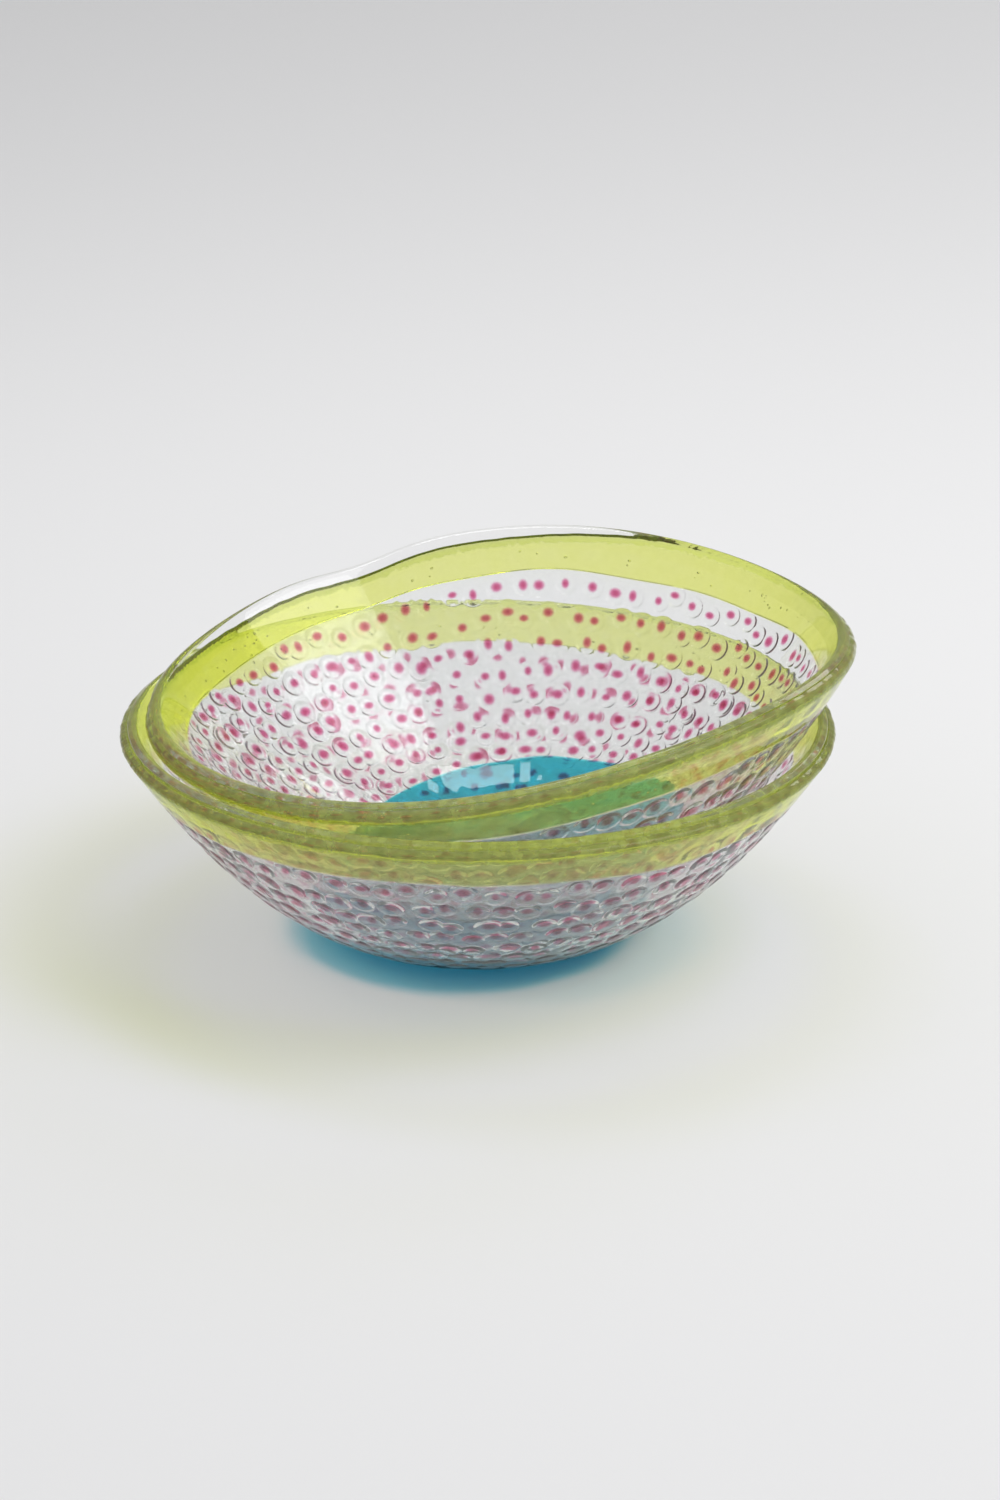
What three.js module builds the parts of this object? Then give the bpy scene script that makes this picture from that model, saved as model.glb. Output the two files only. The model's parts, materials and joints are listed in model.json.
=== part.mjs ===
// A nested pair of kiln-fused art glass bowls, in millimetres, +Z up.
//
// Each bowl is two layers of glass that were fused flat and then slumped over a mould:
// a smooth clear sheet inside, and outside it a base disc, rings of cane slices and a rim band.
// The lower bowl stands on its flat foot, whose centre is the origin. The upper bowl has a
// waved rim and lies tilted in the lower one, from which it lifts straight up.

import * as THREE from "three";

// The wall, the same for both bowls. Radii are measured to the wall's outer face.
const FOOT_RADIUS = 28; // flat part of the foot
const RIM_RADIUS = 125; // outer edge of the rim
const WALL_RISE = 76.3; // height of the outer edge of the rim above the foot
const SHEET_THICKNESS = 3.5; // clear inner sheet
const OUTER_THICKNESS = 3.7; // base disc, slices and rim band
const LAYER_GAP = 0.3; // between pieces that are fused together
const RIM_ROUNDING = 1.3; // fire-polished edges of the rim

// Zones of the outer layer, from the middle outwards.
const DISC_RADIUS = 62; // turquoise base disc
const BAND_RADIUS = 115.4; // where the slices end and the rim band begins
const SLICE_ROWS = 8;
const SLICE_BEVEL = 0.9; // slices are domed, so a row is narrower on the outside

// The waved rim of the upper bowl: two smooth waves round the rim, and one sharp dip.
const WAVES = [
  { lobes: 2, height: 3.85, peakAt: 112 },
  { lobes: 3, height: 2.4, peakAt: 81 },
];
const DIP = { depth: 3.5, at: 116, width: 10 };

// Where the upper bowl lies: the middle of its rim, and the way it tilts.
const UPPER_RIM_CENTRE = new THREE.Vector3(7, 2.5, 96.3);
const UPPER_TILT = new THREE.Vector2(0.1144, 0.0368); // rise per millimetre along X and Y

// Fineness of the surfaces.
const SECTORS = 48; // round the axis
const SHEET_STEPS = 8; // from the foot to the rim
const DISC_STEPS = 3;
const ROW_STEPS = 1;
const BAND_STEPS = 2;

const GLASS = {
  clear: { color: 0xeef1ee, roughness: 0.04 },
  turquoise: { color: 0x2f9fbd, roughness: 0.05 },
  slices: { color: 0xd9a3b8, roughness: 0.08 },
  lime: { color: 0xc9d25a, roughness: 0.06 },
};

const radians = THREE.MathUtils.degToRad;

function glass(kind) {
  return new THREE.MeshStandardMaterial({ ...GLASS[kind], metalness: 0 });
}

// The section point that lies `depth` inside the wall's outer face at `radius`.
// The outer face is a flat foot and then a parabola.
function wallPoint(radius, depth) {
  const reach = RIM_RADIUS - FOOT_RADIUS;
  const beyondFoot = Math.max(0, radius - FOOT_RADIUS);
  const height = WALL_RISE * (beyondFoot / reach) ** 2;
  const steepness = Math.atan((2 * WALL_RISE * beyondFoot) / reach ** 2);
  return new THREE.Vector2(
    radius - depth * Math.sin(steepness),
    height + depth * Math.cos(steepness),
  );
}

// Section points along the wall at one depth.
function along(start, end, depth, steps) {
  return Array.from({ length: steps + 1 }, (_, i) =>
    wallPoint(start + ((end - start) * i) / steps, depth),
  );
}

// Section of a layer that reaches the rim, starting at `inner`: out along its outer face,
// over the rounded rim and back along its inner face.
function rimmedSection(inner, depth, thickness, steps) {
  return [
    ...along(inner, RIM_RADIUS - RIM_ROUNDING, depth, steps),
    wallPoint(RIM_RADIUS, depth + RIM_ROUNDING),
    wallPoint(RIM_RADIUS, depth + thickness - RIM_ROUNDING),
    ...along(RIM_RADIUS - RIM_ROUNDING, inner, depth + thickness, steps),
  ];
}

function sheetSection() {
  const depth = OUTER_THICKNESS + LAYER_GAP;
  return [
    wallPoint(0, depth),
    ...rimmedSection(FOOT_RADIUS, depth, SHEET_THICKNESS, SHEET_STEPS),
    wallPoint(0, depth + SHEET_THICKNESS),
  ];
}

function discSection() {
  return [
    wallPoint(0, 0),
    ...along(FOOT_RADIUS, DISC_RADIUS, 0, DISC_STEPS),
    ...along(DISC_RADIUS, FOOT_RADIUS, OUTER_THICKNESS, DISC_STEPS),
    wallPoint(0, OUTER_THICKNESS),
  ];
}

function rowSection(row) {
  const pitch = (BAND_RADIUS - DISC_RADIUS) / SLICE_ROWS;
  const inner = DISC_RADIUS + row * pitch + LAYER_GAP;
  const outer = DISC_RADIUS + (row + 1) * pitch;
  return closed([
    ...along(inner + SLICE_BEVEL, outer - SLICE_BEVEL, 0, ROW_STEPS),
    ...along(outer, inner, OUTER_THICKNESS, ROW_STEPS),
  ]);
}

function bandSection() {
  return closed(rimmedSection(BAND_RADIUS + LAYER_GAP, 0, OUTER_THICKNESS, BAND_STEPS));
}

function closed(points) {
  return [...points, points[0].clone()];
}

// Height that the waved rim adds at an angle round the axis.
function rimWave(angle) {
  const smooth = WAVES.reduce(
    (sum, wave) => sum + wave.height * Math.cos(wave.lobes * (angle - radians(wave.peakAt))),
    0,
  );
  const fromDip = THREE.MathUtils.euclideanModulo(angle, 2 * Math.PI) - radians(DIP.at);
  return smooth - DIP.depth * Math.exp(-((fromDip / radians(DIP.width)) ** 2));
}

// Turns a section round the vertical axis. A waved piece keeps its flat foot, and is lifted
// more the further out it is.
function turned(section, waved) {
  const geometry = new THREE.LatheGeometry(section, SECTORS);
  geometry.rotateX(Math.PI / 2);
  const place = geometry.getAttribute("position");
  for (let i = 0; waved && i < place.count; i += 1) {
    const radius = Math.hypot(place.getX(i), place.getY(i));
    const angle = Math.atan2(place.getY(i), place.getX(i));
    const share = Math.max(0, radius - FOOT_RADIUS) / (RIM_RADIUS - FOOT_RADIUS);
    place.setZ(i, place.getZ(i) + rimWave(angle) * share ** 2);
  }
  geometry.computeVertexNormals();
  return geometry;
}

// One bowl: every piece of glass that is fused into it.
function bowl(prefix, waved) {
  const group = new THREE.Group();
  const add = (name, section, kind) => {
    const mesh = new THREE.Mesh(turned(section, waved), glass(kind));
    mesh.name = `${prefix}_${name}`;
    group.add(mesh);
  };
  add("clear_sheet", sheetSection(), "clear");
  add("base_disc", discSection(), "turquoise");
  for (let row = 0; row < SLICE_ROWS; row += 1) {
    const number = String(row + 1).padStart(2, "0");
    add(`slice_row_${number}`, rowSection(row), "slices");
  }
  add("rim_band", bandSection(), "lime");
  return group;
}

// The upper bowl is held by the middle of its rim, so it tilts about that point.
function tiltedBowl() {
  const glassware = bowl("upper", true);
  glassware.position.z = -WALL_RISE;
  const holder = new THREE.Group();
  holder.add(glassware);
  holder.position.copy(UPPER_RIM_CENTRE);
  const upright = new THREE.Vector3(0, 0, 1);
  const tilted = new THREE.Vector3(-UPPER_TILT.x, -UPPER_TILT.y, 1).normalize();
  holder.quaternion.setFromUnitVectors(upright, tilted);
  return holder;
}

const nestedBowls = new THREE.Group();
nestedBowls.add(bowl("lower", false), tiltedBowl());

export default nestedBowls;
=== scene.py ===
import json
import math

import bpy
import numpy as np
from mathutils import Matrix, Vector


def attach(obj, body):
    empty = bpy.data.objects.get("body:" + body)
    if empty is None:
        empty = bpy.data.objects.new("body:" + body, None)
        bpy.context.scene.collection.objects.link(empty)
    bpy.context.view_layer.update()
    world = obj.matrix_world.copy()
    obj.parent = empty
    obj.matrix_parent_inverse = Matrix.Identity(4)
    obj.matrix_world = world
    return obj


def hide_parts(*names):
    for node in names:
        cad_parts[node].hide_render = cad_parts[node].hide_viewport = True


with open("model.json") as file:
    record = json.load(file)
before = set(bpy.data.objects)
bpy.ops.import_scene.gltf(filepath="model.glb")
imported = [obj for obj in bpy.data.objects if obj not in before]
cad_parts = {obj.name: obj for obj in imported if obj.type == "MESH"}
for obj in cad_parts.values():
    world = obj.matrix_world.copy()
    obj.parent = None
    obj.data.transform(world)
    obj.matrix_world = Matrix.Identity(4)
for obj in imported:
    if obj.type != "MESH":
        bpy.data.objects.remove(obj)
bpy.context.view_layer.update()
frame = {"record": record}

# Looks of a nested pair of kiln-fused glass bowls. Each bowl is made of pieces that are fused together:
# a smooth clear sheet inside, and outside it a turquoise base disc, eight rows of clear cane slices
# with a magenta core, and a lime rim band. Where two pieces are fused, light passes straight through
# their faces; it bends only at the faces that are open to the air.

MM = 0.001

# The wall, as the CAD model has it. Radii are measured to the wall's outer face.
FOOT_RADIUS = 28 * MM
RIM_RADIUS = 125 * MM
WALL_RISE = 76.3 * MM
OUTER_THICKNESS = 3.7 * MM
WALL_THICKNESS = 7.5 * MM
DISC_RADIUS = 62 * MM
BAND_RADIUS = 115.4 * MM
SLICE_ROWS = 8
WAVES = ((2, 3.85 * MM, 112), (3, 2.4 * MM, 81))  # lobes, height, angle of a crest
DIP_DEPTH, DIP_ANGLE, DIP_WIDTH = 3.5 * MM, 116, 10

# The outer face: disc, slices and band stand out of the wall as low pads with rounded edges.
RELIEF = 0.48 * MM  # how far they stand out
RIPPLE = 0.06 * MM  # unevenness of the whole face
EDGE_ROUNDING = 1.6 * MM  # width of a pad's rounded edge
CUT_WOBBLE = 0.5 * MM  # of the hand-cut edges of the disc and the band

# The cane slices and their cores.
SLICE_SPACING = 9.2 * MM
SLICE_SIZE = (4.0 * MM, 5.1 * MM)  # smallest and largest radius
SLICE_SHIFT = (0.22, 0.2)  # out of line, round the bowl and along the wall, as a share of the pitch
SLICE_HEIGHT = (0.75, 1)  # lowest and highest, as a share of RELIEF
CORE_SHARE = (0.44, 0.60)  # of a slice's radius
CORE_STRETCH = (0.82, 1.22)
CORE_DEPTH, CORE_REACH = 1.95 * MM, 1.4 * MM  # middle of a core, and half its length
CORE_POINT = 3.4  # how much thinner a core gets towards its ends; a ball has 1

# The inner face.
SHEET_RIPPLE = 0.05 * MM
MIDDLE_SAG = 0.8 * MM  # how far the sheet's middle has sunk

# The rim.
LOBES = {  # rounding of each layer's edge, at the air and at the joint between the layers
    "lower": (1.7 * MM, 1.0 * MM),
    "upper": (2.6 * MM, 0.2 * MM),
}
RIM_LEAN = math.cos(math.atan(2 * WALL_RISE / (RIM_RADIUS - FOOT_RADIUS)))
EDGE_WIDTH = 0.5 * MM  # of the deeper green along the lime's edge
EDGE_JAG = 0.28 * MM  # unevenness of its lower side
SETBACK, SETBACK_RIPPLE = 0.3 * MM, 0.06 * MM  # how far short of the rim the lime ends
BACK_SETBACK, BACK_ANGLE, BACK_WIDTH = 2.1 * MM, 118, 52  # more of it, at the upper bowl's back
SEEDS = 90  # bubbles in one band

# Where pieces meet.
FUSED_GAP = 0.04 * MM  # between the sheet and the outer layer
SIDE_GAP = 0.02 * MM  # from the edge of a piece's face to the edge of its back
FACE_TRIM = 0.05  # of a grid step, cut from each side of a piece's face

FACE_PASSES = 0.89  # of the light from a lamp, at each face of clear glass
RIM_MATERIAL = 2  # place of the rim's glass among the clear sheet's materials

# Fineness of the meshes.
SECTORS = 1440  # of the outer layer, round the axis
SHEET_SECTORS = 480
GRAIN = 0.45 * MM  # step along the wall of the outer face
LOBE_STEPS, BARE_STEPS, SHEET_STEPS, BACK_STEPS = 8, 7, 160, 60
AXIS_RADIUS = 0.3 * MM  # innermost row of a piece that covers the axis

# The camera: lens, where it looks, how high it stands and how far away.
LENS_MM = 85
TARGET = Vector((7.74, 0, 65.1)) * MM
CAMERA_RISE = math.radians(21.04)
CAMERA_DISTANCE = 1237.5 * MM


def add_object(name, data):
    obj = bpy.data.objects.new(name, data)
    bpy.context.scene.collection.objects.link(obj)
    return obj


def aim(obj, place, target):
    obj.location = place
    obj.rotation_euler = (Vector(target) - Vector(place)).to_track_quat("-Z", "Y").to_euler()


def make_camera():
    camera = add_object("camera", bpy.data.cameras.new("camera"))
    camera.data.lens = LENS_MM
    camera.data.sensor_width = 36
    camera.data.clip_start = 0.05
    towards = Vector((0, -math.cos(CAMERA_RISE), math.sin(CAMERA_RISE)))
    aim(camera, TARGET + towards * CAMERA_DISTANCE, TARGET)
    bpy.context.scene.camera = camera


# ---------------------------------------------------------------- the wall


def wall_point(radius, depth):
    """Radius and height of the point that lies depth inside the outer face at radius."""
    reach = RIM_RADIUS - FOOT_RADIUS
    beyond = np.maximum(0, radius - FOOT_RADIUS)
    steep = np.arctan(2 * WALL_RISE * beyond / reach**2)
    height = WALL_RISE * (beyond / reach) ** 2
    return radius - depth * np.sin(steep), height + depth * np.cos(steep)


def rim_wave(angle):
    """Height that the waved rim adds at an angle round the axis."""
    lift = sum(h * np.cos(n * (angle - math.radians(crest))) for n, h, crest in WAVES)
    from_dip = (np.degrees(angle) % 360 - DIP_ANGLE) / DIP_WIDTH
    return lift - DIP_DEPTH * np.exp(-from_dip**2)


def arc_length(radius):
    """Distance along the outer face from the axis."""
    steps = np.linspace(0, RIM_RADIUS * 1.05, 2000)
    heights = wall_point(steps, 0)[1]
    lengths = np.concatenate([[0], np.cumsum(np.hypot(np.diff(steps), np.diff(heights)))])
    return np.interp(radius, steps, lengths)


def ripple(random, angle, length, waves, shortest, turns=60):
    """Smooth irregular waves between about -1 and 1, with at most so many turns round the axis."""
    total = np.zeros(np.broadcast(angle, length).shape)
    for _ in range(waves):
        lobes = random.integers(-turns, turns + 1)
        pace = random.uniform(-1, 1) * 2 * math.pi / shortest
        total += np.sin(lobes * angle + pace * length + random.uniform(0, 2 * math.pi))
    return total / math.sqrt(waves)


class Bowl:
    """One of the two bowls: its CAD body, where it stands and how it leans."""

    def __init__(self, name, foot, upright, waved, seed):
        self.name = name
        self.body = f"{name}_bowl"
        self.foot = np.array(foot)
        self.turn = np.array(Vector((0, 0, 1)).rotation_difference(Vector(upright)).to_matrix())
        self.waved = waved
        self.random = np.random.default_rng(seed)
        around = np.arange(SECTORS) * 2 * math.pi / SECTORS
        self.cut_wave = CUT_WOBBLE * ripple(self.random, around, 0, 8, 30 * MM, 14)
        self.end_wave = SETBACK_RIPPLE * ripple(self.random, around, 0, 24, 30 * MM, 90)
        self.jag_wave = EDGE_JAG * ripple(self.random, around, 0, 40, 30 * MM, 330)
        self.lobe_out, self.lobe_in = LOBES[name]
        self.lobe_radius = RIM_RADIUS - self.lobe_out * RIM_LEAN
        self.edge_radius = self.lobe_radius - EDGE_WIDTH * RIM_LEAN

    def back(self, angle):
        """How much an angle belongs to the back of the upper bowl, where its rim is left bare."""
        return np.exp(-(((np.degrees(angle) - BACK_ANGLE) / BACK_WIDTH) ** 4)) * self.waved

    def wrapped(self, angle):
        """How far the lime has flowed over the rim, and painted shade: the share is most at the front
        and fades towards the back, where light comes through from behind; least at the bare back.
        """
        return np.clip(0.5 - 0.6 * np.sin(angle), 0.1, 1) * (1 - self.back(angle))

    def edge_shift(self, radius, angle):
        """How far the hand-cut edges lie from their circles, for columns of radius and rows of angle."""
        around = np.linspace(0, 2 * math.pi, SECTORS + 1)
        waves = (self.cut_wave, self.end_wave, self.jag_wave)
        cut, end, jag = (np.interp(angle, around, np.append(wave, wave[0])) for wave in waves)
        near_band = np.exp(-(((radius - BAND_RADIUS) / (4 * MM)) ** 2))
        near_disc = np.exp(-(((radius - DISC_RADIUS) / (6 * MM)) ** 2))
        near_edge = np.exp(-(((radius - self.edge_radius) / (0.7 * MM)) ** 2))
        at_rim = np.clip((radius - BAND_RADIUS) / (5 * MM), 0, 1)
        short = (SETBACK + BACK_SETBACK * self.back(angle) + end) * at_rim
        return cut * near_band + cut * near_disc + jag * near_edge - short

    def place(self, radius, angle, depth):
        """Points of the bowl where it stands, for arrays of radius, angle and depth."""
        r, z = wall_point(radius, depth)
        if self.waved:
            share = np.maximum(0, r - FOOT_RADIUS) / (RIM_RADIUS - FOOT_RADIUS)
            z = z + rim_wave(angle) * share**2
        standing = np.stack([r * np.cos(angle), r * np.sin(angle), z + 0 * angle], -1)
        return standing @ self.turn.T + self.foot


def make_bowls():
    mount = next(m for m in frame["record"]["mounts"] if m["name"] == "bowl_floor")
    upright = Vector(mount["axis"]).normalized()
    foot = Vector(mount["pos_m"]) - upright * WALL_THICKNESS
    return [
        Bowl("lower", (0, 0, 0), (0, 0, 1), False, 7),
        Bowl("upper", foot, upright, True, 11),
    ]


# ---------------------------------------------------------------- meshes


def surface_normals(points):
    """Normals of a grid of points, rows along the wall and columns round the axis."""
    round_axis = np.roll(points, -1, 1) - np.roll(points, 1, 1)
    along_wall = np.gradient(points, axis=0)
    normals = np.cross(round_axis, along_wall)
    return normals / np.maximum(np.linalg.norm(normals, axis=-1, keepdims=True), 1e-12)


def mesh_from(name, points, triangles, quads, normals=None):
    mesh = bpy.data.meshes.new(name)
    mesh.vertices.add(len(points))
    mesh.vertices.foreach_set("co", np.asarray(points, np.float32).ravel())
    corners = np.concatenate([quads.ravel(), triangles.ravel()]).astype(np.int32)
    starts = np.concatenate(
        [np.arange(len(quads)) * 4, 4 * len(quads) + np.arange(len(triangles)) * 3]
    )
    mesh.loops.add(len(corners))
    mesh.loops.foreach_set("vertex_index", corners)
    mesh.polygons.add(len(quads) + len(triangles))
    mesh.polygons.foreach_set("loop_start", starts.astype(np.int32))
    mesh.update(calc_edges=True)
    mesh.shade_smooth()
    if normals is not None:
        mesh.normals_split_custom_set_from_vertices(np.asarray(normals, np.float32))
    return mesh


def grid_quads(rows, columns):
    """Faces between rows of points that close on themselves round the axis."""
    i, j = np.meshgrid(np.arange(rows - 1), np.arange(columns), indexing="ij")
    k = (j + 1) % columns
    return np.stack([i * columns + j, i * columns + k, (i + 1) * columns + k, (i + 1) * columns + j], -1)


def turned_piece(name, bowl, faces, materials, slot, centred):
    """A closed piece from the faces of its section, in order, each as (grid, normals).

    A face without normals is fused. A centred piece starts and ends on the axis; the other kind
    is a ring, and closes from its last row to its first."""
    grid = np.concatenate([points for points, _ in faces])
    shading = [np.zeros_like(p) + (0, 0, 1) if n is None else n for p, n in faces]
    shading = np.concatenate(shading).reshape(-1, 3)
    open_rows = np.concatenate([np.full(len(p), n is not None) for p, n in faces])
    rows, columns = grid.shape[:2]
    points = grid.reshape(-1, 3)
    quads = grid_quads(rows, columns).reshape(-1, 4)
    is_fused = np.repeat(~(open_rows[:-1] & open_rows[1:]), columns)
    triangles = np.zeros((0, 3), int)
    j = np.arange(columns)
    k = (j + 1) % columns
    end = (rows - 1) * columns
    if centred:
        first, last = np.full(columns, rows * columns), np.full(columns, rows * columns + 1)
        triangles = np.concatenate([np.stack([first, k, j], -1), np.stack([last, end + j, end + k], -1)])
        points = np.concatenate([points, [grid[0].mean(0), grid[-1].mean(0)]])
        shading = np.concatenate([shading, [shading[:columns].mean(0), shading[-columns:].mean(0)]])
        is_fused = np.concatenate([is_fused, np.repeat([not open_rows[0], not open_rows[-1]], columns)])
    else:
        quads = np.concatenate([quads, np.stack([end + j, end + k, k, j], -1)])
        is_fused = np.concatenate([is_fused, np.ones(columns, bool)])
    mesh = mesh_from(name, points, triangles, quads, shading)
    return finish_piece(name, bowl, mesh, is_fused, materials, slot)


def add_attribute(mesh, name, values):
    mesh.attributes.new(name, "FLOAT", "FACE").data.foreach_set("value", values.astype(np.float32))


def finish_piece(name, bowl, mesh, is_fused, materials, slot):
    """Clear glass has a material of its own for its fused faces; other glass has an attribute."""
    for material in materials:
        mesh.materials.append(material)
    if len(materials) > 1:
        mesh.polygons.foreach_set("material_index", is_fused.astype(np.int32))
    else:
        add_attribute(mesh, "fused", is_fused)
    obj = add_object(name, mesh)
    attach(obj, bowl.body)
    return obj


# ---------------------------------------------------------------- relief of the outer layer


def pad(inside):
    """Height of a fused pad, by how far inside its edge a point is: 0 at the edge, 1 on top."""
    rise = np.clip(inside / EDGE_ROUNDING, 0, 1)
    return rise * (2 - rise)


def slice_layout(bowl):
    """Row, angle, radius, size and height of every slice."""
    random = bowl.random
    slices = []
    pitch = (BAND_RADIUS - DISC_RADIUS) / SLICE_ROWS
    for row in range(SLICE_ROWS):
        radius = DISC_RADIUS + (row + 0.5) * pitch
        count = round(2 * math.pi * radius / SLICE_SPACING)
        for i in range(count):
            shift = random.uniform(-SLICE_SHIFT[0], SLICE_SHIFT[0])
            angle = 2 * math.pi * (i + 0.5 * (row % 2) + shift) / count
            middle = radius + random.uniform(-SLICE_SHIFT[1], SLICE_SHIFT[1]) * pitch
            size, tall = random.uniform(*SLICE_SIZE), random.uniform(*SLICE_HEIGHT)
            slices.append((row, angle, middle, size, tall))
    return slices


def outer_rows(bowl):
    """Radii of the rows of the outer face, and where each piece begins among them."""
    edges = [AXIS_RADIUS, *np.linspace(DISC_RADIUS, BAND_RADIUS, SLICE_ROWS + 1)]
    edges += [bowl.edge_radius, bowl.lobe_radius]
    radii, starts = [np.array([edges[0]])], [0]
    for low, high in zip(edges, edges[1:]):
        steps = math.ceil((arc_length(high) - arc_length(low)) / GRAIN)
        radii.append(np.linspace(low, high, steps + 1)[1:])
        starts.append(starts[-1] + steps)
    return np.concatenate(radii), starts


def relief_depth(bowl, slices, radius, angle):
    """Depth of the outer face below the tops of the slices, over the whole grid."""
    length = arc_length(radius)
    inner, outer = arc_length(DISC_RADIUS), arc_length(BAND_RADIUS)
    disc = pad(inner - length)
    band = pad(length - outer)
    height = np.repeat(np.maximum(disc, band)[:, None], SECTORS, 1)
    for _, at, middle, size, tall in slices:
        centre = arc_length(middle)
        rows = np.nonzero(np.abs(length - centre) < size)[0]
        reach = size / middle
        first, last = np.array([at - reach, at + reach]) / (2 * math.pi) * SECTORS
        columns = np.arange(math.floor(first), math.ceil(last) + 1)
        across = (columns * 2 * math.pi / SECTORS - at) * middle
        inside = size - np.hypot(across[None, :], (length[rows] - centre)[:, None])
        window = np.ix_(rows, columns % SECTORS)
        height[window] = np.maximum(height[window], tall * pad(inside))
    calm = np.clip((radius - FOOT_RADIUS) / (8 * MM), 0, 1)[:, None]
    waves = ripple(bowl.random, angle[None, :], length[:, None], 24, 14 * MM)
    return RELIEF * (1 - height) + RIPPLE * waves * calm


def rim_lobe(bowl, depth_air, depth_joint):
    """Radius and depth of the points round one layer's rim, from its open side to its joint."""
    inward = math.copysign(1, depth_joint - depth_air)
    turn = np.linspace(0, math.pi / 2, LOBE_STEPS + 1)[1:]
    radius = [
        RIM_RADIUS - bowl.lobe_out * RIM_LEAN * (1 - np.sin(turn)),
        RIM_RADIUS - bowl.lobe_in * RIM_LEAN * (1 - np.cos(turn)),
    ]
    depth = [
        depth_air + inward * bowl.lobe_out * (1 - np.cos(turn)),
        depth_joint - inward * bowl.lobe_in * (1 - np.sin(turn)),
    ]
    return np.concatenate(radius), np.concatenate(depth)


def outer_pieces(bowl, glass):
    """The disc, the slice rows and the band, cut from one grid so that they match at their joints."""
    slices = slice_layout(bowl)
    angle = np.arange(SECTORS) * 2 * math.pi / SECTORS
    radius, starts = outer_rows(bowl)
    depth = relief_depth(bowl, slices, radius, angle)
    lobe_radius, lobe_depth = rim_lobe(bowl, 0, OUTER_THICKNESS)
    fading = depth[-1:] * np.linspace(1, 0, len(lobe_radius))[:, None]  # relief, over the rim
    radius = np.concatenate([radius, lobe_radius])
    depth = np.concatenate([depth, lobe_depth[:, None] + fading])

    def place(rows, deep):
        shifted = rows[:, None] + bowl.edge_shift(rows[:, None], angle[None, :])
        return bowl.place(shifted, angle[None, :], deep)

    points = place(radius, depth)
    normals = surface_normals(points)
    starts[-1] = len(radius) - 1  # the edge goes on over the rim
    rows = [f"slice_row_{i + 1:02d}" for i in range(SLICE_ROWS)]
    names = ["base_disc", *rows, "rim_band", "rim_edge"]
    kinds = ["turquoise"] + ["slices"] * SLICE_ROWS + ["lime", "lime_edge"]
    slots = ["turquoise_glass"] + ["slice_glass"] * SLICE_ROWS + ["lime_glass"] * 2
    for name, kind, slot, low, high in zip(names, kinds, slots, starts, starts[1:]):
        face, shading = points[low : high + 1].copy(), normals[low : high + 1]
        face[0] += (face[1] - face[0]) * FACE_TRIM
        face[-1] += (face[-2] - face[-1]) * FACE_TRIM
        steps = 2 + (high - low) // 8
        back_radius = np.linspace(radius[high] - SIDE_GAP, radius[low] + SIDE_GAP, steps)
        faces = [(face, shading), (place(back_radius, OUTER_THICKNESS), None)]
        node = f"{bowl.name}_{name}"
        piece = turned_piece(f"{node}_glass", bowl, faces, glass[kind], slot, name == "base_disc")
        if name == "rim_edge":  # no CAD node of its own
            # painted shade: the edge's olive haze is heaviest at the front and fades towards the back,
            # plus half a share along the bare back
            edge_haze_and_painted_shade = bowl.wrapped(angle) + 0.5 * bowl.back(angle)
            share = np.tile(edge_haze_and_painted_shade, len(piece.data.polygons) // SECTORS)
            add_attribute(piece.data, "wrapped", share)
        else:
            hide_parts(node)
    return slices


def sheet_piece(bowl, glass):
    """The clear inner sheet. Its rim, its smooth inner face and the strip that the lime leaves bare
    are open to the air."""
    angle = np.arange(SHEET_SECTORS) * 2 * math.pi / SHEET_SECTORS
    joint = OUTER_THICKNESS + FUSED_GAP
    joint_end = RIM_RADIUS - bowl.lobe_in * RIM_LEAN + bowl.edge_shift(RIM_RADIUS, angle)

    # The open side, from the rim to the axis.
    lobe_radius, lobe_depth = rim_lobe(bowl, WALL_THICKNESS, joint)
    inner = np.linspace(lobe_radius[0], AXIS_RADIUS, SHEET_STEPS)[1:]
    radius = np.concatenate([lobe_radius[::-1], inner])
    depth = np.concatenate([lobe_depth[::-1], np.full(len(inner), WALL_THICKNESS)])
    length = arc_length(radius)
    waves = SHEET_RIPPLE * ripple(bowl.random, angle[None, :], length[:, None], 10, 60 * MM)
    sag = MIDDLE_SAG * np.maximum(0, 1 - (radius / FOOT_RADIUS) ** 2)
    calm = np.minimum(1, np.arange(len(radius)) / (2 * len(lobe_radius)))
    depth = depth[:, None] + waves * calm[:, None] - sag[:, None]

    # Before it the bare strip, and before that the fused side, from the axis to where the lime ends.
    bare = joint_end + np.linspace(0, 1, BARE_STEPS)[:-1, None] * (radius[0] - joint_end)
    radius = np.concatenate([bare, np.repeat(radius[:, None], SHEET_SECTORS, 1)])
    depth = np.concatenate([np.full(bare.shape, joint), depth])
    face = bowl.place(radius, angle[None, :], depth)
    back_width = joint_end - SIDE_GAP - AXIS_RADIUS
    back_radius = AXIS_RADIUS + np.linspace(0, 1, BACK_STEPS)[:, None] * back_width
    back = bowl.place(back_radius, angle[None, :], joint)
    faces = [(back, None), (face, surface_normals(face))]

    node = f"{bowl.name}_clear_sheet"
    piece = turned_piece(f"{node}_glass", bowl, faces, glass["clear"], "clear_glass", True)
    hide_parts(node)
    rim_rows = len(bare) + len(lobe_radius) + 4  # and a little way down the inner face
    mark_rim(piece.data, len(back), rim_rows, bowl.wrapped(angle))


def mark_rim(mesh, first, rows, share):
    """Gives some rows of the sheet's faces the rim's material, with a share of haze by their angle:
    painted shade, most at the front.
    """
    faces = slice(first * SHEET_SECTORS, (first + rows) * SHEET_SECTORS)
    slots = np.zeros(len(mesh.polygons), np.int32)
    mesh.polygons.foreach_get("material_index", slots)
    slots[faces] = RIM_MATERIAL
    mesh.polygons.foreach_set("material_index", slots)
    wrapped = np.zeros(len(slots))
    wrapped[faces] = np.tile(share, rows)
    add_attribute(mesh, "wrapped", wrapped)


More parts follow.
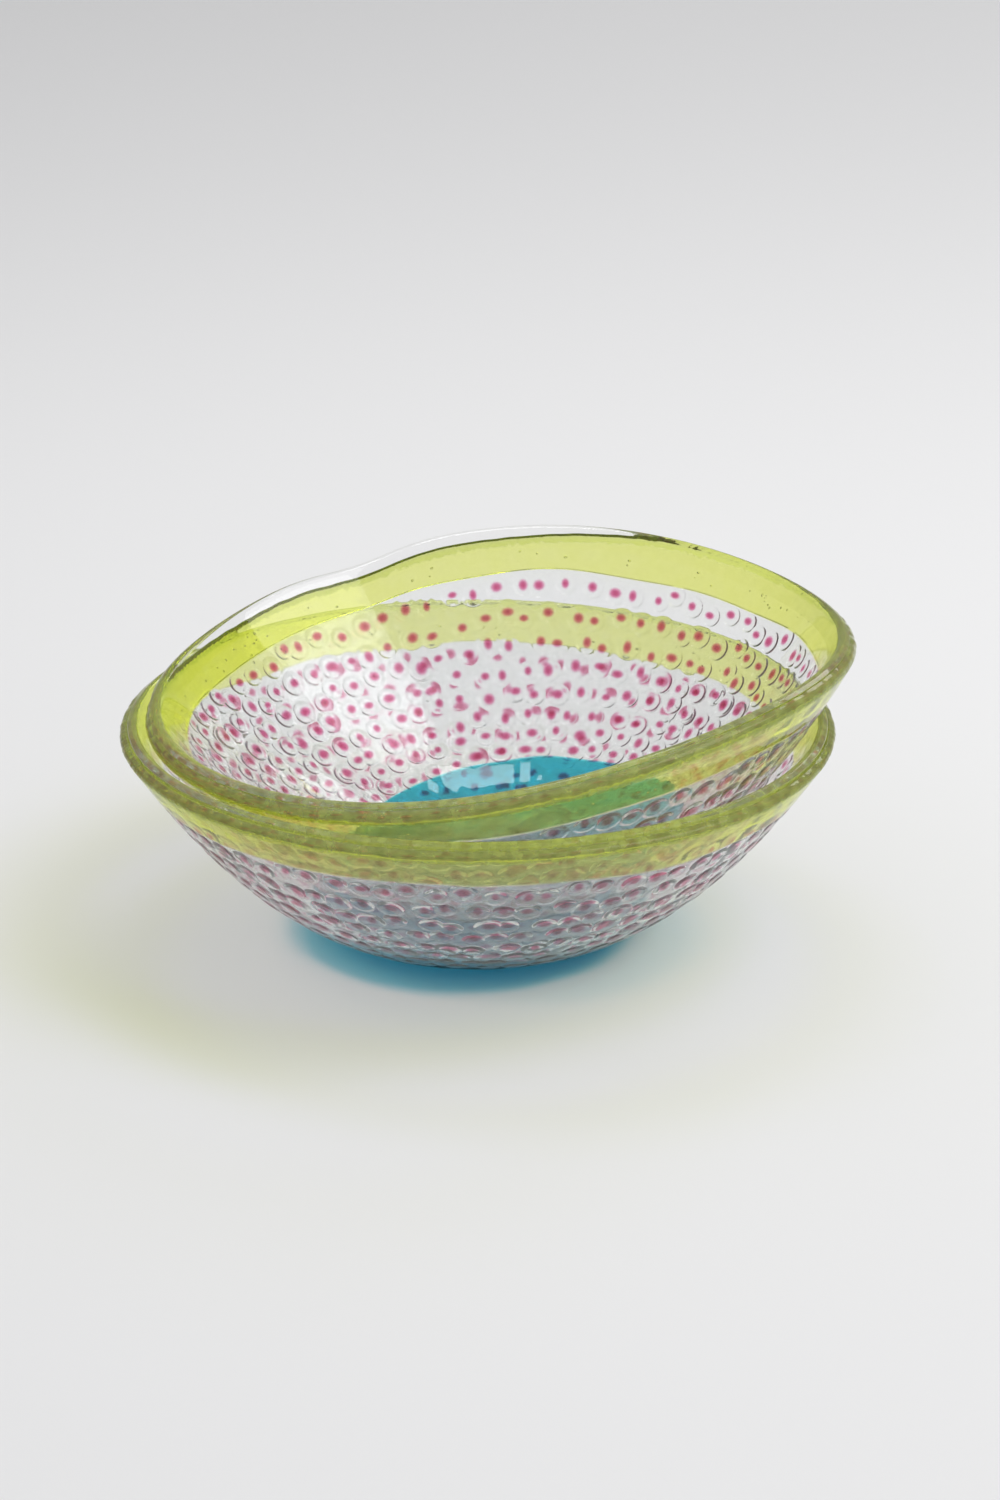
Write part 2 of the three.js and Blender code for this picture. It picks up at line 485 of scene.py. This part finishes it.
def lumps_piece(name, bowl, lumps, rings, spokes, material):
    """One mesh of many small closed lumps. Each is its angle, radius, depth, half width across,
    half width along, half length through the wall, and how pointed its ends are. Lamps light what
    lies behind them as if they weren't there."""
    tilt = np.linspace(0, math.pi, rings + 2)[1:-1]
    spin = np.arange(spokes) * 2 * math.pi / spokes
    next_spin = (np.arange(spokes) + 1) % spokes
    points, quads, triangles = [], [], []
    for k, (at, middle, deep, wide, tall, reach, point) in enumerate(lumps):
        across = wide * np.sin(tilt)[:, None] * np.cos(spin)
        along = tall * np.sin(tilt)[:, None] * np.sin(spin)
        rise = 2 * WALL_RISE * (middle - FOOT_RADIUS) / (RIM_RADIUS - FOOT_RADIUS) ** 2
        slope = math.cos(math.atan(rise))
        through = np.copysign(np.abs(np.cos(tilt)) ** point, np.cos(tilt))[:, None]
        lump = bowl.place(middle + along * slope, at + across / middle, deep + reach * through)
        ends = bowl.place(np.full(2, middle), np.full(2, at), np.array([deep + reach, deep - reach]))
        points += [lump.reshape(-1, 3), ends]
        base = k * (rings * spokes + 2)
        top = base + rings * spokes
        bottom, last = top + 1, top - spokes
        here = np.arange(spokes)
        quads.append(grid_quads(rings, spokes).reshape(-1, 4) + base)
        triangles.append(np.stack([np.full(spokes, top), base + next_spin, base + here], -1))
        triangles.append(np.stack([np.full(spokes, bottom), last + here, last + next_spin], -1))
    mesh = mesh_from(name, np.concatenate(points), np.concatenate(triangles), np.concatenate(quads))
    mesh.materials.append(material)
    obj = add_object(name, mesh)
    obj.visible_shadow = False
    obj.visible_diffuse = False
    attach(obj, bowl.body)


def cores(bowl, slices, material):
    """The magenta cores of the slices, row by row, as soft lumps inside the clear glass."""
    for row in range(SLICE_ROWS):
        lumps = []
        for at, middle, size in [s[1:4] for s in slices if s[0] == row]:
            width = size * bowl.random.uniform(*CORE_SHARE)
            stretch = bowl.random.uniform(*CORE_STRETCH)
            sides = (width * stretch, width / stretch)
            lumps.append((at, middle, CORE_DEPTH, *sides, CORE_REACH, CORE_POINT))
        name = f"{bowl.name}_slice_cores_{row + 1:02d}"
        lumps_piece(name, bowl, lumps, 10, 20, material)


def seeds(bowl, material):
    """Small bubbles in the lime glass."""
    random = bowl.random
    lumps = []
    for _ in range(SEEDS):
        size = random.uniform(0.2, 0.6) * MM
        stretch = random.uniform(0.8, 1.4)
        middle = random.uniform(BAND_RADIUS + 2 * MM, RIM_RADIUS - 5 * MM)
        depth = random.uniform(1.2, 2.8) * MM
        at = random.uniform(0, 2 * math.pi)
        lumps.append((at, middle, depth, size * stretch, size / stretch, size * 0.8, 1))
    lumps_piece(f"{bowl.name}_rim_seeds", bowl, lumps, 6, 12, material)


# ---------------------------------------------------------------- materials


def new_material(name):
    material = bpy.data.materials.new(name)
    material.use_nodes = True
    nodes, links = material.node_tree.nodes, material.node_tree.links
    return material, nodes, links, nodes["Principled BSDF"], nodes["Material Output"]


def surface_bump(nodes, links, layers):
    """Bump from layers of noise: each is its size, its strength and its height."""
    place = nodes.new("ShaderNodeTexCoord")
    last = None
    for size, strength, height in layers:
        noise = nodes.new("ShaderNodeTexNoise")
        noise.inputs["Scale"].default_value = 1 / size
        noise.inputs["Detail"].default_value = 3
        bump = nodes.new("ShaderNodeBump")
        bump.inputs["Strength"].default_value = strength
        bump.inputs["Distance"].default_value = height
        links.new(place.outputs["Object"], noise.inputs["Vector"])
        links.new(noise.outputs["Fac"], bump.inputs["Height"])
        if last is not None:
            links.new(last.outputs["Normal"], bump.inputs["Normal"])
        last = bump
    return last


def path_mix(nodes, links, shader):
    """Glass for the rays that see it; rays from the lights go straight on through it, a bit dimmed."""
    path = nodes.new("ShaderNodeLightPath")
    either = nodes.new("ShaderNodeMath")
    either.operation = "MAXIMUM"
    dimmed = nodes.new("ShaderNodeBsdfTransparent")
    dimmed.inputs["Color"].default_value = (*[FACE_PASSES] * 3, 1)
    mix = nodes.new("ShaderNodeMixShader")
    links.new(path.outputs["Is Shadow Ray"], either.inputs[0])
    links.new(path.outputs["Is Diffuse Ray"], either.inputs[1])
    links.new(either.outputs["Value"], mix.inputs["Fac"])
    links.new(shader.outputs["Shader"], mix.inputs[1])
    links.new(dimmed.outputs["BSDF"], mix.inputs[2])
    return mix


def add_haze(nodes, links, shader, share, colour, where=None):
    """Light that the glass scatters instead of passing on: a share of what meets its surface, which
    varies in patches, as its colour does. An attribute can say where, from 0 to 1."""
    place = nodes.new("ShaderNodeTexCoord")
    patches = nodes.new("ShaderNodeTexNoise")
    patches.inputs["Scale"].default_value = 1 / (4 * MM)
    patches.inputs["Detail"].default_value = 4
    tint = nodes.new("ShaderNodeValToRGB")
    tint.color_ramp.elements[0].position = 0.35
    tint.color_ramp.elements[0].color = (*[0.85 * c for c in colour], 1)
    tint.color_ramp.elements[1].position = 0.65
    tint.color_ramp.elements[1].color = (*[min(1, 1.1 * c) for c in colour], 1)
    amount = nodes.new("ShaderNodeMapRange")
    amount.inputs["From Min"].default_value = 0.3
    amount.inputs["From Max"].default_value = 0.7
    amount.inputs["To Min"].default_value = 0.8 * share
    amount.inputs["To Max"].default_value = 1.2 * share
    haze = nodes.new("ShaderNodeBsdfDiffuse")
    mix = nodes.new("ShaderNodeMixShader")
    links.new(place.outputs["Object"], patches.inputs["Vector"])
    links.new(patches.outputs["Fac"], tint.inputs["Fac"])
    links.new(patches.outputs["Fac"], amount.inputs["Value"])
    links.new(tint.outputs["Color"], haze.inputs["Color"])
    links.new(amount.outputs["Result"], mix.inputs["Fac"])
    links.new(shader.outputs["BSDF"], mix.inputs[1])
    links.new(haze.outputs["BSDF"], mix.inputs[2])
    if where is not None:
        here = nodes.new("ShaderNodeAttribute")
        here.attribute_name = where
        scale = nodes.new("ShaderNodeMath")
        scale.operation = "MULTIPLY"
        links.new(here.outputs["Fac"], scale.inputs[0])
        links.new(amount.outputs["Result"], scale.inputs[1])
        links.new(scale.outputs["Value"], mix.inputs["Fac"])
    return mix


def add_absorption(nodes, links, output, absorbed):
    """Colour that the light loses along its way, as a share per millimetre of each primary."""
    strongest = max(absorbed)
    volume = nodes.new("ShaderNodeVolumeAbsorption")
    volume.inputs["Color"].default_value = (*[1 - a / strongest for a in absorbed], 1)
    volume.inputs["Density"].default_value = strongest / MM
    links.new(volume.outputs["Volume"], output.inputs["Volume"])


def glass_material(name, layers, haze, absorbed=None, ior=1.5, where=None):
    """Glass with bumps in layers and a haze, each as above, whose colour may be absorbed inside it."""
    material, nodes, links, shader, output = new_material(name)
    shader.inputs["Transmission Weight"].default_value = 1
    shader.inputs["Roughness"].default_value = 0.0
    shader.inputs["IOR"].default_value = ior
    shader.inputs["Base Color"].default_value = (1, 1, 1, 1)
    bump = surface_bump(nodes, links, layers)
    links.new(bump.outputs["Normal"], shader.inputs["Normal"])
    surface = path_mix(nodes, links, add_haze(nodes, links, shader, *haze, where))
    if absorbed is not None:
        add_absorption(nodes, links, output, absorbed)
        clear = nodes.new("ShaderNodeBsdfTransparent")
        joint = nodes.new("ShaderNodeAttribute")
        joint.attribute_name = "fused"
        mix = nodes.new("ShaderNodeMixShader")
        links.new(joint.outputs["Fac"], mix.inputs["Fac"])
        links.new(surface.outputs["Shader"], mix.inputs[1])
        links.new(clear.outputs["BSDF"], mix.inputs[2])
        surface = mix
    links.new(surface.outputs["Shader"], output.inputs["Surface"])
    return material


def joint_material():
    """The face of a clear piece where it is fused to another: light goes straight on."""
    material, nodes, links, shader, output = new_material("fused_joint")
    nodes.remove(shader)
    clear = nodes.new("ShaderNodeBsdfTransparent")
    links.new(clear.outputs["BSDF"], output.inputs["Surface"])
    return material


def core_material():
    """Magenta that deepens with the thickness of the lump, and doesn't bend light."""
    material, nodes, links, shader, output = new_material("magenta_core")
    nodes.remove(shader)
    clear = nodes.new("ShaderNodeBsdfTransparent")
    links.new(clear.outputs["BSDF"], output.inputs["Surface"])
    magenta = (0.15, 0.88, 0.52)  # absorbed per millimetre
    add_absorption(nodes, links, output, magenta)
    return material


def make_glass():
    """The materials of each kind of piece. Colours are what a glass scatters, and lime, edge and teal
    what it absorbs per millimetre."""
    joint = joint_material()
    smooth = ((30 * MM, 0.2, 0.2 * MM), (7 * MM, 0.05, 0.1 * MM))
    rough = ((6 * MM, 0.25, 0.2 * MM), (1.6 * MM, 0.2, 0.05 * MM))
    white, grey = (0.85, 0.86, 0.88), (0.74, 0.82, 0.84)
    green, olive = (0.75, 0.82, 0.31), (0.54, 0.62, 0.18)
    lime, edge, teal = (0.016, 0.009, 0.28), (0.05, 0.03, 0.38), (1.1, 0.17, 0.11)
    # The rim's olive haze is spread by the attribute as painted shade: heaviest at the front, faint at
    # the back.
    rim = glass_material("rim_glass", smooth, (0.42, olive), where="wrapped")
    return {
        "clear": [glass_material("clear_glass", smooth, (0.03, white)), joint, rim],
        "slices": [glass_material("slice_glass", rough, (0.12, grey)), joint],
        "lime": [glass_material("lime_glass", rough, (0.13, green), lime)],
        # the lime edge's olive haze is spread the same way, as painted shade heaviest at the front
        "lime_edge": [glass_material("lime_edge_glass", rough, (0.38, olive), edge, where="wrapped")],
        "turquoise": [glass_material("turquoise_glass", smooth, (0.04, (0.1, 0.5, 0.62)), teal)],
        "seeds": glass_material("air_bubble", smooth, (0.05, white), ior=1 / 1.5),
    }


# ---------------------------------------------------------------- studio


def make_floor():
    """A pale floor that sweeps up into a wall all round."""
    floor_radius, sweep, wall_top = 6.0, 1.5, 3.0
    turn = np.linspace(0, math.pi / 2, 17)
    radius = np.concatenate([[0.05, 0.5], floor_radius + sweep * np.sin(turn), [floor_radius + sweep]])
    height = np.concatenate([[0, 0], sweep * (1 - np.cos(turn)), [wall_top]])
    columns = 96
    angle = np.arange(columns) * 2 * math.pi / columns
    across, back = radius[:, None] * np.cos(angle), radius[:, None] * np.sin(angle)
    points = np.stack([across, back, height[:, None] + 0 * angle], -1)
    quads = grid_quads(len(radius), columns).reshape(-1, 4)[:, ::-1]
    j = np.arange(columns)
    middle = len(radius) * columns
    triangles = np.stack([np.full(columns, middle), j, (j + 1) % columns], -1)
    mesh = mesh_from("floor", np.concatenate([points.reshape(-1, 3), [[0, 0, 0]]]), triangles, quads)
    material, nodes, links, shader, output = new_material("paper")
    shader.inputs["Base Color"].default_value = (0.80, 0.80, 0.803, 1)
    shader.inputs["Roughness"].default_value = 0.9
    shader.inputs["Specular IOR Level"].default_value = 0.1
    mesh.materials.append(material)
    floor = add_object("floor", mesh)
    floor.location.z = -0.2 * MM  # just under the foot


def softbox(name, place, target, width, height, radiance):
    light = bpy.data.lights.new(name, "AREA")
    light.shape = "RECTANGLE"
    light.size, light.size_y = width, height
    light.energy = radiance * math.pi * width * height
    obj = add_object(name, light)
    aim(obj, place, target)
    obj.visible_camera = False


def make_lights():
    world = bpy.data.worlds.new("studio")
    world.use_nodes = True
    background = world.node_tree.nodes["Background"]
    background.inputs["Color"].default_value = (0.99, 0.99, 1, 1)
    background.inputs["Strength"].default_value = 0.46
    bpy.context.scene.world = world
    for size in (2.0, 1.6, 1.2, 0.8):  # one inside the other, so that the light is strongest mid-box
        softbox(f"main_softbox_{size}", (1.6, -0.34, 2.5), (0, 0, 0.05), size, size, 1.9)
    softbox("top_softbox", (0, 0.41, 1.13), (0, 0, 0.05), 0.42, 0.32, 4.5)
    softbox("backdrop_panel", (1.8, 3.4, 2.6), (1.0, 2.0, 0), 1.6, 1.6, 2.8)


def set_light_paths():
    """Enough bounces for glass behind glass, without caustics, in plain colours."""
    cycles = bpy.context.scene.cycles
    cycles.max_bounces = 40
    cycles.transmission_bounces = 32
    cycles.transparent_max_bounces = 64
    cycles.caustics_refractive = False
    bpy.context.scene.view_settings.view_transform = "Standard"


make_camera()
make_floor()
make_lights()
set_light_paths()
glass = make_glass()
core = core_material()
for bowl in make_bowls():
    slices = outer_pieces(bowl, glass)
    sheet_piece(bowl, glass)
    cores(bowl, slices, core)
    seeds(bowl, glass["seeds"])
